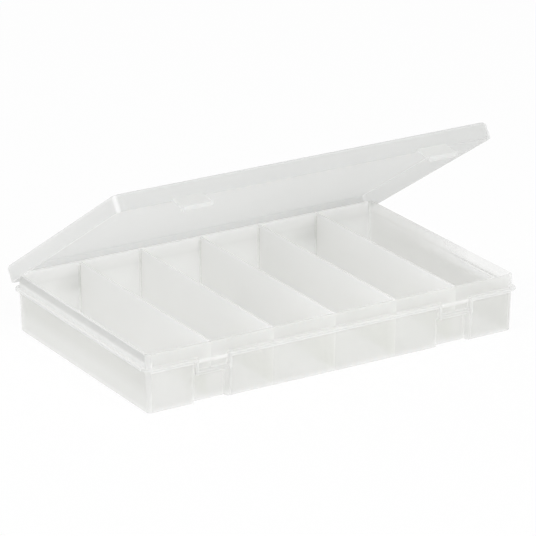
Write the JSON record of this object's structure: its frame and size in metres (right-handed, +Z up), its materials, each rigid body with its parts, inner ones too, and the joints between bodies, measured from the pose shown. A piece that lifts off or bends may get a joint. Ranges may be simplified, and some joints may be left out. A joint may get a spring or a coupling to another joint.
{
  "type": "compartment storage box",
  "caption": "Shallow translucent plastic box with a hinged lid, snap latches at the front and upright dividers that part the tray into long compartments for small parts.",
  "frame": {"origin": "middle of the tray's flat underside", "axes": "+X to the right along the front, +Y from the latches to the hinge, +Z up"},
  "size_m": [0.2746, 0.181, 0.1305],
  "materials": {
    "tray_plastic": "natural translucent polypropylene, satin moulded faces with glossy edges",
    "divider_plastic": "natural translucent polypropylene sheet, satin",
    "lid_plastic": "natural translucent polypropylene, smooth",
    "pin_plastic": "natural translucent polypropylene rod, smooth"
  },
  "bodies": {
    "tray": {"tray": "tray_plastic", "divider_1": "divider_plastic", "divider_2": "divider_plastic", "divider_3": "divider_plastic", "divider_4": "divider_plastic", "divider_5": "divider_plastic", "hinge_pin_left": "pin_plastic", "hinge_pin_right": "pin_plastic"},
    "lid": {"lid": "lid_plastic"},
    "latch_left": {"latch_left": "lid_plastic"},
    "latch_right": {"latch_right": "lid_plastic"}
  },
  "joints": [
    {"name": "lid_hinge", "type": "hinge", "parent": "tray", "child": "lid", "pos_m": [0, 0.08705, 0.022], "axis": [-1, 0, 0], "range_deg": [-32.6, 147.4]},
    {"name": "latch_left_hinge", "type": "hinge", "parent": "lid", "child": "latch_left", "pos_m": [-0.08895, -0.05298, 0.12307], "axis": [-1, 0, 0], "range_deg": [-47, 43], "stiffness_Nm_per_rad": 0.02},
    {"name": "latch_right_hinge", "type": "hinge", "parent": "lid", "child": "latch_right", "pos_m": [0.08895, -0.05298, 0.12307], "axis": [-1, 0, 0], "range_deg": [-47, 43], "stiffness_Nm_per_rad": 0.02}
  ]
}
